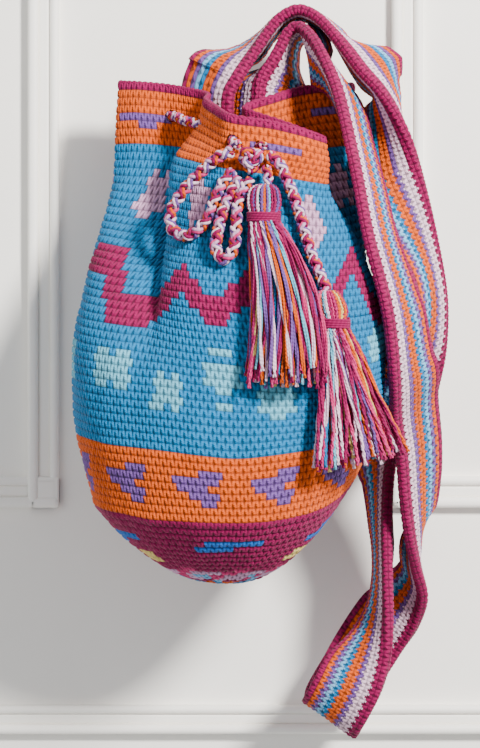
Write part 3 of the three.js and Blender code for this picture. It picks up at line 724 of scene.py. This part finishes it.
def near_cord(points, quads, line, reach):
    """True for faces that the cord passes through."""
    middle = points[quads].mean(axis=1)
    hit = np.zeros(len(middle), bool)
    box = np.all((middle > line.min(axis=0) - reach) & (middle < line.max(axis=0) + reach), axis=1)
    where = np.nonzero(box)[0]
    for part in np.array_split(where, 60):
        gap = np.linalg.norm(middle[part][:, None] - line[None], axis=2).min(axis=1)
        hit[part] = gap < reach
    return hit


def piece(name, node, material, mesh):
    """A mesh (points in metres, quads, colours, uvs) that stands for a CAD node."""
    obj = mesh_object(name, mesh[0], mesh[1], material, mesh[2], mesh[3])
    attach(obj, "root")
    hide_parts(node)
    return obj


def make_body(cord):
    rows = np.linspace(0, WALL_ROWS, SAMPLES_IN_ROW * WALL_ROWS + 1)
    rings = even_rings(rows, WALL_COLUMNS)
    points, quads, colours, uv = crochet_sheet(rings, rows, wall_pattern, STITCH_WIDE)
    columns = points.shape[1]
    cut = SAMPLES_IN_ROW * SPLIT_ROW
    for name, first, last in (("bag_wall_upper", 0, cut), ("bag_wall_lower", cut, len(rows) - 1)):
        flat = points[first:last + 1].reshape(-1, 3)
        chosen = slice(first * columns, last * columns)
        mine = quads[chosen] - first * columns
        keep = ~near_cord(flat, mine, cord, EYELET_REACH)
        piece(name, "bag_body", BODY_YARN,
              (flat * MM, mine[keep], colours[chosen][keep], uv[chosen][keep]))
    rows = np.linspace(WALL_ROWS, CENTRE_ROW, SAMPLES_IN_ROW * (CENTRE_ROW - WALL_ROWS) + 1)
    rings = base_rings(rows, BASE_COLUMNS)
    points, quads, colours, uv = crochet_sheet(rings, rows, base_pattern, STITCH_WIDE)
    piece("bag_base", "bag_body", BODY_YARN,
          (points.reshape(-1, 3) * MM, quads, colours, uv))
    make_lining(cord)
    make_rim()


def make_lining(cord):
    rows = np.arange(0, CENTRE_ROW + 0.01, 1.0)
    columns = LINING_COLUMNS
    wall = even_rings(rows[rows < WALL_ROWS], columns)
    rings = np.concatenate([wall, base_rings(rows[rows >= WALL_ROWS], columns)])
    normal = outward(rings)
    normal[-1] = (0, 0, -1)
    points = (rings - normal * (FABRIC + 0.3)).reshape(-1, 3)
    quads = grid_quads(len(rows), columns, True)
    low, here = cells(len(rows) - 1, columns)
    uv = corner_uv(low, here, lambda r, c: c / columns * STITCHES,
                   lambda r, c: np.clip(r, low + 0.0001, low + 0.9999))
    place, row = stitch_of((here + 0.5) / columns * STITCHES, low + 0.5)
    pick = np.where(row < WALL_ROWS, wall_pattern(place, row), base_pattern(place, row))
    keep = ~near_cord(points, quads, cord, EYELET_REACH)
    flip = quads[:, [0, 3, 2, 1]]
    uv = uv[:, [0, 3, 2, 1]]
    piece("bag_lining", "bag_body", BODY_YARN,
          (points * MM, flip[keep], PALETTE[pick][keep], uv[keep]))


def make_rim():
    """Slip-stitch edging: one fat loop for every stitch, from the outside over to the lining."""
    columns = RIM_COLUMNS
    rings = even_rings(np.array([0.0, 1.0]), columns)
    normal = outward(rings)[0]
    up = unit(rings[0] - rings[1])
    share = np.arange(columns) / columns
    loop = np.abs(np.sin(np.pi * share * STITCHES))
    turn = np.linspace(-0.5 * np.pi - 0.3, 0.5 * np.pi + 0.3, 9)
    middle = rings[0] - normal * (FABRIC / 2)
    half = FABRIC / 2 + 0.35 * loop
    levels = []
    for t in turn:
        levels.append(middle + normal * (-np.sin(t) * half)[:, None]
                      + up * (np.cos(t) * (1.3 + 0.7 * loop) - 0.4)[:, None])
    points = np.array(levels).reshape(-1, 3)
    quads = grid_quads(len(turn), columns, True)
    low, here = cells(len(turn) - 1, columns)
    uv = corner_uv(low, here, lambda r, c: r / len(turn),
                   lambda r, c: c / columns * STITCHES * STITCH_WIDE)
    colours = np.repeat(PALETTE[[ink("magenta")]], len(quads), axis=0)
    piece("bag_rim", "bag_body", CORD_YARN, (points * MM, quads, colours, uv))


# ---- Strap ----
# Colours of the stripes, from the fold out to the edge.
STRIPES = ["magenta", "magenta", "white", "white", "lilac", "orange", "orange", "turquoise",
           "pale_blue", "lilac", "orange", "magenta", "magenta"]


def strap_frames(step):
    table = np.array(STATIONS, float) * (1, -1, 1)
    knots = np.arange(len(table))
    fine = np.linspace(0, knots[-1], 4000)
    line = open_curve(table[:, 0], knots, fine)
    far = distances(line)
    at = np.linspace(0, far[-1], int(round(far[-1] / step)) + 1)
    t = np.interp(at, far, fine)
    ridge = open_curve(table[:, 0], knots, t)
    ahead = open_curve(table[:, 0], knots, np.minimum(t + 0.05, knots[-1]))
    tangent = unit(ahead - open_curve(table[:, 0], knots, np.maximum(t - 0.05, 0)))
    sides = []
    for k in (1, 2):
        side = open_curve(table[:, k], knots, t)
        sides.append(unit(side - tangent * np.sum(side * tangent, axis=1, keepdims=True)))
    return ridge, sides[0], sides[1], at


def away(across, side, sign):
    n = sign * across
    return unit(n - side * np.sum(n * side, axis=1, keepdims=True))


def strap_surface(frames, across_at, lift):
    """Points at across_at mm from the ridge (below zero in half A), raised by lift."""
    ridge, a, b, _ = frames
    opening = unit(a + b)
    across = b - a
    across = unit(across - opening * np.sum(across * opening, axis=1, keepdims=True))
    centre = ridge + opening * STRAP_FOLD
    arc = 1.57 * STRAP_FOLD
    columns = []
    for k, u in enumerate(across_at):
        side, out = (a, away(across, a, -1)) if u < 0 else (b, away(across, b, 1))
        share = min(abs(u) / arc, 1.0)
        turn = np.arccos(np.clip(np.sum(-opening * out, axis=1), -1, 1))[:, None]
        low = np.maximum(np.sin(turn), 1e-4)
        normal = unit(-opening * np.sin((1 - share) * turn) / low
                      + out * np.sin(share * turn) / low)
        base = centre + normal * STRAP_FOLD + side * max(abs(u) - arc, 0.0)
        columns.append(base + normal * lift[:, k:k + 1])
    return np.stack(columns, axis=1)


def make_strap():
    frames = strap_frames(STRAP_STITCH / 4)
    far = frames[3]
    per_row = 3
    half_rows = STRAP_ROWS * per_row
    row_high = (STRAP_HALF - 1.0) / STRAP_ROWS
    rows = np.arange(-half_rows, half_rows + 1) / per_row
    r = np.broadcast_to(np.abs(rows)[None], (len(far), len(rows)))
    c = np.broadcast_to(far[:, None] / STRAP_STITCH, r.shape)
    swell = 0.25 * np.sin(far / 23)[:, None] * np.sin(rows * 0.7)[None]
    legs = stitch_height(c, np.minimum(r, STRAP_ROWS - 0.001), STRAP_STITCH)
    lift = STRAP_THICK / 2 - 0.35 + 0.75 * legs + swell
    face = strap_surface(frames, rows * row_high, lift)
    # The edges turn over to the inside.
    turns = np.linspace(0.25, 1.0, 4) * np.pi
    edge_r = 1.0 + 0.35 * np.abs(np.sin(np.pi * far / STRAP_STITCH))
    edges = []
    for sign in (-1, 1):
        strip = [strap_surface(frames, [sign * (STRAP_HALF - 1.4 + 1.25 * math.sin(t))],
                               (math.cos(t) * (STRAP_THICK / 2 - 0.2) * edge_r)[:, None])[:, 0]
                 for t in turns]
        edges.append(np.stack(strip, axis=1))
    grid = np.concatenate([edges[0][:, ::-1], face, edges[1]], axis=1)
    last_row = np.full(len(turns), STRAP_ROWS - 0.5)
    u_rows = np.concatenate([-last_row, rows, last_row])
    outer = strap_part(grid, far, u_rows, False)
    thin = slice(None, None, 2)
    inner_frames = tuple(f[thin] for f in frames)
    inner_rows = np.linspace(-STRAP_ROWS, STRAP_ROWS, 2 * STRAP_ROWS + 1)
    inner_lift = np.full((len(inner_frames[3]), len(inner_rows)), 0.35 - STRAP_THICK / 2)
    inner = strap_surface(inner_frames, inner_rows * row_high, inner_lift)
    inner = strap_part(inner, inner_frames[3], inner_rows, True)
    obj = piece("strap_band", "strap", STRAP_YARN, join([outer, inner]))


def strap_part(grid, far, rows, inside):
    levels, columns = grid.shape[:2]
    quads = grid_quads(levels, columns, False)
    low, here = cells(levels - 1, columns - 1)
    c = (far[low] + far[low + 1]) / 2 / STRAP_STITCH
    r = np.abs(rows[here] + rows[here + 1]) / 2
    teeth = 0.30 * (np.abs(((c % 1) * 2) - 1) * 2 - 1)
    stripe = np.clip(np.floor(r + np.where((r > 1.6) & (r < 10.4), teeth, 0)), 0, 12).astype(int)
    pick = np.array([ink(name) for name in STRIPES])[stripe]
    own = np.floor(r)
    uv = corner_uv(low, here, lambda r, c: far[r] / STRAP_STITCH,
                   lambda r, c: np.clip(np.abs(rows[c]), own + 1e-4, own + 0.9999))
    if inside:
        quads = quads[:, [0, 3, 2, 1]]
        uv = uv[:, [0, 3, 2, 1]]
    return grid.reshape(-1, 3) * MM, quads, PALETTE[pick], uv


# ---- Braided cord ----
BRAID_TURN = 2 * math.pi / 17.0  # radians per mm
BRAID_MIDDLE = 2.1  # mm from the middle line to the yarns
BRAID_WEAVE = 0.62  # how far a strand goes over and under the others
BRAID_YARN = 0.98  # radius of one yarn
CORD_STEP = 1.2  # mm between the points of a cord's middle line
STOUT = 1.3  # braid of the bow and the lower end, against the CAD cord
BRAID_COLOURS = ["magenta", "white", "pale_pink", "pink", "orange", "magenta", "lilac", "white"]


def braid(line, scale=1.0):
    """Round braid of four strands, each of two yarns, along a line in mm."""
    _, normal, side = carried_frames(line[None])
    normal, side = normal[0], side[0]
    far = distances(line)
    wave = np.cos(2 * (BRAID_TURN * far - math.pi / 4))
    lines = []
    for way, start in ((1, 0.0), (1, math.pi), (-1, math.pi / 2), (-1, 1.5 * math.pi)):
        for beside in (-0.40, 0.40):
            turn = way * BRAID_TURN * far + start + beside
            out = (BRAID_MIDDLE + way * BRAID_WEAVE * wave) * scale
            lines.append(line + normal * (out * np.cos(turn))[:, None]
                         + side * (out * np.sin(turn))[:, None])
    tints = PALETTE[[ink(name) for name in BRAID_COLOURS]]
    return tubes(np.array(lines), BRAID_YARN * scale, 6, tints)


def make_cord(name, node, line, scale=1.08):
    obj = piece(name, node, CORD_YARN, braid(line, scale))


def make_knot():
    t = np.linspace(0, 2 * np.pi, 90)
    wide, deep, high = (np.array(KNOT_RADII) - 3.5)
    x = (np.sin(t) + 2 * np.sin(2 * t)) / 3 * wide * 1.05
    z = (np.cos(t) - 2 * np.cos(2 * t)) / 3 * high * 1.05
    y = -np.sin(3 * t) * deep * 0.75
    line = np.stack([x, y, z], axis=1) + np.array(KNOT_CENTRE, float) * (1, -1, 1)
    make_cord("bow_knot_braid", "bow_knot", resample(line, 1.3),
              scale=1.12)


# ---- Tassels ----
TASSEL_COLOURS = (["magenta"] * 13 + ["orange"] * 6 + ["white"] * 6 + ["lilac"] * 4
                  + ["pink"] * 6 + ["pale_cyan"] * 2 + ["cream"] + ["turquoise"])
NECK = 4  # the level where the wrap goes round
PLY_APART = 0.68  # mm from a strand's middle to each of its two plies
PLY_RADIUS = 0.86
WRAP_RADIUS = 1.05
LINE_STEPS = 42


def tassel_lines(levels, strands, slant, flare, steps):
    """Middle lines of the tassel's strands, from the crown to the cut ends, in mm."""
    table = np.array([list(c) + [w, d, t] for c, w, d, t in levels], float)
    knots = np.arange(len(table))
    heights = np.concatenate([np.linspace(0, NECK, steps // 3, endpoint=False),
                              np.linspace(NECK, knots[-1], steps - steps // 3)])
    ring = ((np.arange(strands) + 0.5) / strands) ** 0.43
    around = np.arange(strands) * 2.39996 + rng.uniform(-0.2, 0.2, strands)
    lines = np.zeros((strands, steps, 3))
    for i in range(strands):
        end = knots[-1] * (1 + rng.uniform(-0.04, 0.012) + slant * ring[i] * math.cos(around[i]))
        below = NECK + (heights - NECK) * (end - NECK) / (knots[-1] - NECK)
        h = np.where(heights > NECK, below, heights)
        level = open_curve(table, knots, np.minimum(h, knots[-1]))
        past = np.maximum(h - knots[-1], 0)[:, None]
        level = level + past * (table[-1] - table[-2])
        fall = np.clip((h - NECK) / (knots[-1] - NECK), 0, 1.2)
        drift = around[i] + 0.35 * fall * rng.normal()
        spread = ring[i] * (1 + fall * (flare + 0.16 * rng.normal()))
        spread = np.minimum(spread, 1.0 + (flare + 0.04) * fall)
        wobble = 1.7 * fall * np.sin(rng.uniform(0, 6.28) + h * rng.uniform(0.9, 1.9))
        depth = 1.5 * fall * np.sin(rng.uniform(0, 6.28) + h * rng.uniform(0.9, 1.9))
        turn = np.radians(level[:, 5])
        x = (level[:, 3] - 0.9) * spread * np.cos(drift) + wobble
        y = (level[:, 4] - 0.9) * spread * np.sin(drift) + depth
        lines[i, :, 0] = level[:, 0] + x * np.cos(turn) - y * np.sin(turn)
        lines[i, :, 1] = -level[:, 1] + x * np.sin(turn) + y * np.cos(turn)
        lines[i, :, 2] = level[:, 2]
    # A last short step, so that the cut ends are blunt.
    tip = lines[:, -1:] + 0.25 * unit(lines[:, -1:] - lines[:, -2:-1])
    return np.concatenate([lines, tip], axis=1)


def make_tassel(name, node, levels, strands, slant, flare):
    lines = tassel_lines(levels, strands, slant, flare, LINE_STEPS)
    _, normal, side = carried_frames(lines)
    far = np.cumsum(np.linalg.norm(np.gradient(lines, axis=1), axis=2), axis=1)
    fray = 1 + 0.7 * np.clip((np.linspace(0, 1, LINE_STEPS + 1) - 0.95) / 0.05, 0, 1)[None]
    plies = []
    start = rng.uniform(0, 6.28, strands)[:, None]
    for k in (0, math.pi):
        turn = 1.15 * far + start + k
        plies.append(lines + PLY_APART * (fray * np.cos(turn))[..., None] * normal
                     + PLY_APART * (fray * np.sin(turn))[..., None] * side)
    picks = [ink(n) for n in rng.choice(TASSEL_COLOURS, strands)]
    tints = PALETTE[picks] * rng.uniform(0.88, 1.1, strands)[:, None]
    mesh = tubes(np.concatenate(plies), PLY_RADIUS, 4, np.concatenate([tints, tints]))
    return piece(name, node, TASSEL_YARN, mesh)


def make_wrap(name, node, levels):
    """Yarn wound round the neck."""
    (x, front, z), wide, deep, turn = levels[NECK]
    t = np.linspace(0, 4.2 * 2 * np.pi, 260)
    a = math.radians(turn)
    ex = (wide + 1.2) * np.cos(t)
    ey = (deep + 1.2) * np.sin(t)
    line = np.stack([x + ex * math.cos(a) - ey * math.sin(a),
                     -front + ex * math.sin(a) + ey * math.cos(a),
                     z + 3.4 - 6.8 * t / t[-1]], axis=1)
    mesh = tubes(line[None], WRAP_RADIUS, 7, PALETTE[[ink("magenta")]])
    return piece(name, node, TASSEL_YARN, mesh)


def make_seam(name, node, x):
    """Zigzag of sewing yarn between the strap and the wall."""
    route = [(x + (3.5 if i % 2 else -3.5), -6.3, -14 - 30 * i / 7) for i in range(8)]
    line = resample(np.array(route, float), 1.5)
    mesh = tubes(line[None], 0.85, 6, PALETTE[[ink("magenta")]])
    piece(name, node, SEWING_YARN, mesh)


# ---- Stage ----
def plain_material(name, rgb, rough):
    s = Shader(name)
    place = s.nodes.new("ShaderNodeTexCoord").outputs["Object"]
    grain = s.noise(place, 60.0)
    shade = s.plus(0.985, s.times(grain, 0.03))
    colour = s.scaled(tuple(linear(rgb)), shade)
    bump = s.node("ShaderNodeBump", Height=grain, Distance=0.0004, Strength=0.15)
    s.put(s.principled.inputs["Base Color"], colour)
    s.put(s.principled.inputs["Normal"], bump.outputs[0])
    s.put(s.principled.inputs["Roughness"], rough)
    # Seen from behind, the door doesn't hide the bag.
    behind = s.times(s.nodes.new("ShaderNodeNewGeometry").outputs["Backfacing"],
                     s.nodes.new("ShaderNodeLightPath").outputs["Is Camera Ray"])
    mixed = s.nodes.new("ShaderNodeMixShader")
    s.put(mixed.inputs[0], behind)
    s.put(mixed.inputs[1], s.principled.outputs[0])
    s.put(mixed.inputs[2], s.nodes.new("ShaderNodeBsdfTransparent").outputs[0])
    s.put(s.nodes["Material Output"].inputs["Surface"], mixed.outputs[0])
    return s.material


def block(name, low, high, material, bevel=0.0):
    low, high = np.array(low, float), np.array(high, float)
    corners = [(x, y, z) for x in (low[0], high[0]) for y in (low[1], high[1])
               for z in (low[2], high[2])]
    faces = [(0, 1, 3, 2), (4, 6, 7, 5), (0, 4, 5, 1), (0, 2, 6, 4), (1, 5, 7, 3)]  # open behind
    mesh = bpy.data.meshes.new(name)
    mesh.from_pydata(corners, [], faces)
    mesh.materials.append(material)
    obj = bpy.data.objects.new(name, mesh)
    bpy.context.scene.collection.objects.link(obj)
    if bevel:
        rounding = obj.modifiers.new("bevel", "BEVEL")
        rounding.width = bevel
        rounding.segments = 5


def moulding(name, low, high):
    """A flat bead between two rounded ones, standing on the door."""
    paint = bpy.data.materials["door_paint"]
    low, high = np.array(low, float), np.array(high, float)
    upright = high[2] - low[2] > high[0] - low[0]
    axis = 0 if upright else 2
    wide = high[axis] - low[axis]
    beads = ((0.0, 0.34, 0.011), (0.3, 0.75, 0.006), (0.7, 1.0, 0.009))
    for k, (start, end, rise) in enumerate(beads):
        a, b = low.copy(), high.copy()
        a[axis] = low[axis] + start * wide
        b[axis] = low[axis] + end * wide
        a[1] = high[1] - rise
        block(f"{name}_{k}", a, b, paint, 0.0035)


def light(name, place, aim, size, power, colour):
    data = bpy.data.lights.new(name, "AREA")
    data.shape = "DISK"
    data.size = size
    data.energy = power
    data.color = colour
    obj = bpy.data.objects.new(name, data)
    bpy.context.scene.collection.objects.link(obj)
    obj.location = place
    way = np.array(place, float) - np.array(aim, float)
    turn = math.atan2(way[1], way[0]) + math.pi / 2
    obj.rotation_euler = (math.acos(way[2] / np.linalg.norm(way)), 0, turn)


def make_stage():
    paint = plain_material("door_paint", (250, 247, 240), 0.45)
    back = 0.062
    block("door", (-1.6, back, -1.6), (1.6, back + 0.03, 1.2), paint)
    panels = (("left", -0.152, -0.128, -1.2, -0.128), ("right", 0.128, 0.152, 0.128, 1.2))
    for name, low, high, foot_low, foot_high in panels:
        moulding(f"{name}_panel_side", (low, back - 0.012, -0.318), (high, back, 1.1))
        moulding(f"{name}_panel_foot", (foot_low, back - 0.012, -0.318),
                 (foot_high, back, -0.294))
        block(f"{name}_corner", (low, back - 0.009, -0.318), (high, back, -0.294), paint, 0.002)
    moulding("lower_panel_head", (-1.2, back - 0.012, -0.492), (1.2, back, -0.470))
    light("key", (1.1, -1.7, 0.8), (0.0, 0.0, -0.2), 0.42, 142, (1.0, 0.975, 0.94))
    light("fill", (-1.3, -1.6, 0.1), (0.0, 0.0, -0.2), 1.4, 7, (0.93, 0.96, 1.0))
    studio = bpy.data.worlds.new("studio")
    studio.use_nodes = True
    studio.node_tree.nodes["Background"].inputs[0].default_value = (0.95, 0.97, 1.0, 1)
    studio.node_tree.nodes["Background"].inputs[1].default_value = 0.62
    bpy.context.scene.world = studio


def make_camera():
    data = bpy.data.cameras.new("camera")
    data.sensor_fit = "AUTO"
    data.sensor_width = 36
    away = 2.2  # metres from the camera to the plane of the rim's back edge
    half_high = 0.2805  # half the height of the view in that plane
    data.lens = data.sensor_width / 2 / (half_high / away)
    obj = bpy.data.objects.new("camera", data)
    obj.location = (0.01125, -away, -0.21525)
    obj.rotation_euler = (math.pi / 2, 0, 0)
    bpy.context.scene.collection.objects.link(obj)
    bpy.context.scene.camera = obj


# ---- Build ----
drawstring_line = cord_line(DRAWSTRING, 1.25)
make_body(drawstring_line)
make_strap()
make_cord("drawstring_braid", "drawstring", drawstring_line)
make_knot()
for loop_name, loop_route in (("left", LEFT_LOOP), ("lower", LOWER_LOOP)):
    make_cord(f"bow_loop_{loop_name}_braid", f"bow_loop_{loop_name}",
              cord_line(loop_route, CORD_STEP), scale=STOUT)
upper = make_tassel("tassel_upper_yarn", "tassel_upper_strands", UPPER_TASSEL, 138, 0.0, 0.0)
upper_wrap = make_wrap("tassel_upper_wrap", "tassel_upper_binding", UPPER_TASSEL)
lower = make_tassel("tassel_lower_yarn", "tassel_lower_strands", LOWER_TASSEL, 130, -0.04, 0.13)
lower_wrap = make_wrap("tassel_lower_wrap", "tassel_lower_binding", LOWER_TASSEL)
make_cord("drawstring_end_upper_braid", "drawstring_end_upper",
          cord_line(UPPER_END, CORD_STEP))
make_cord("drawstring_end_lower_braid", "drawstring_end_lower",
          cord_line(LOWER_END, CORD_STEP),
          scale=STOUT)
make_seam("strap_seam_left", "strap_stitching_left", -34)
make_seam("strap_seam_right", "strap_stitching_right", -9)
make_stage()
make_camera()
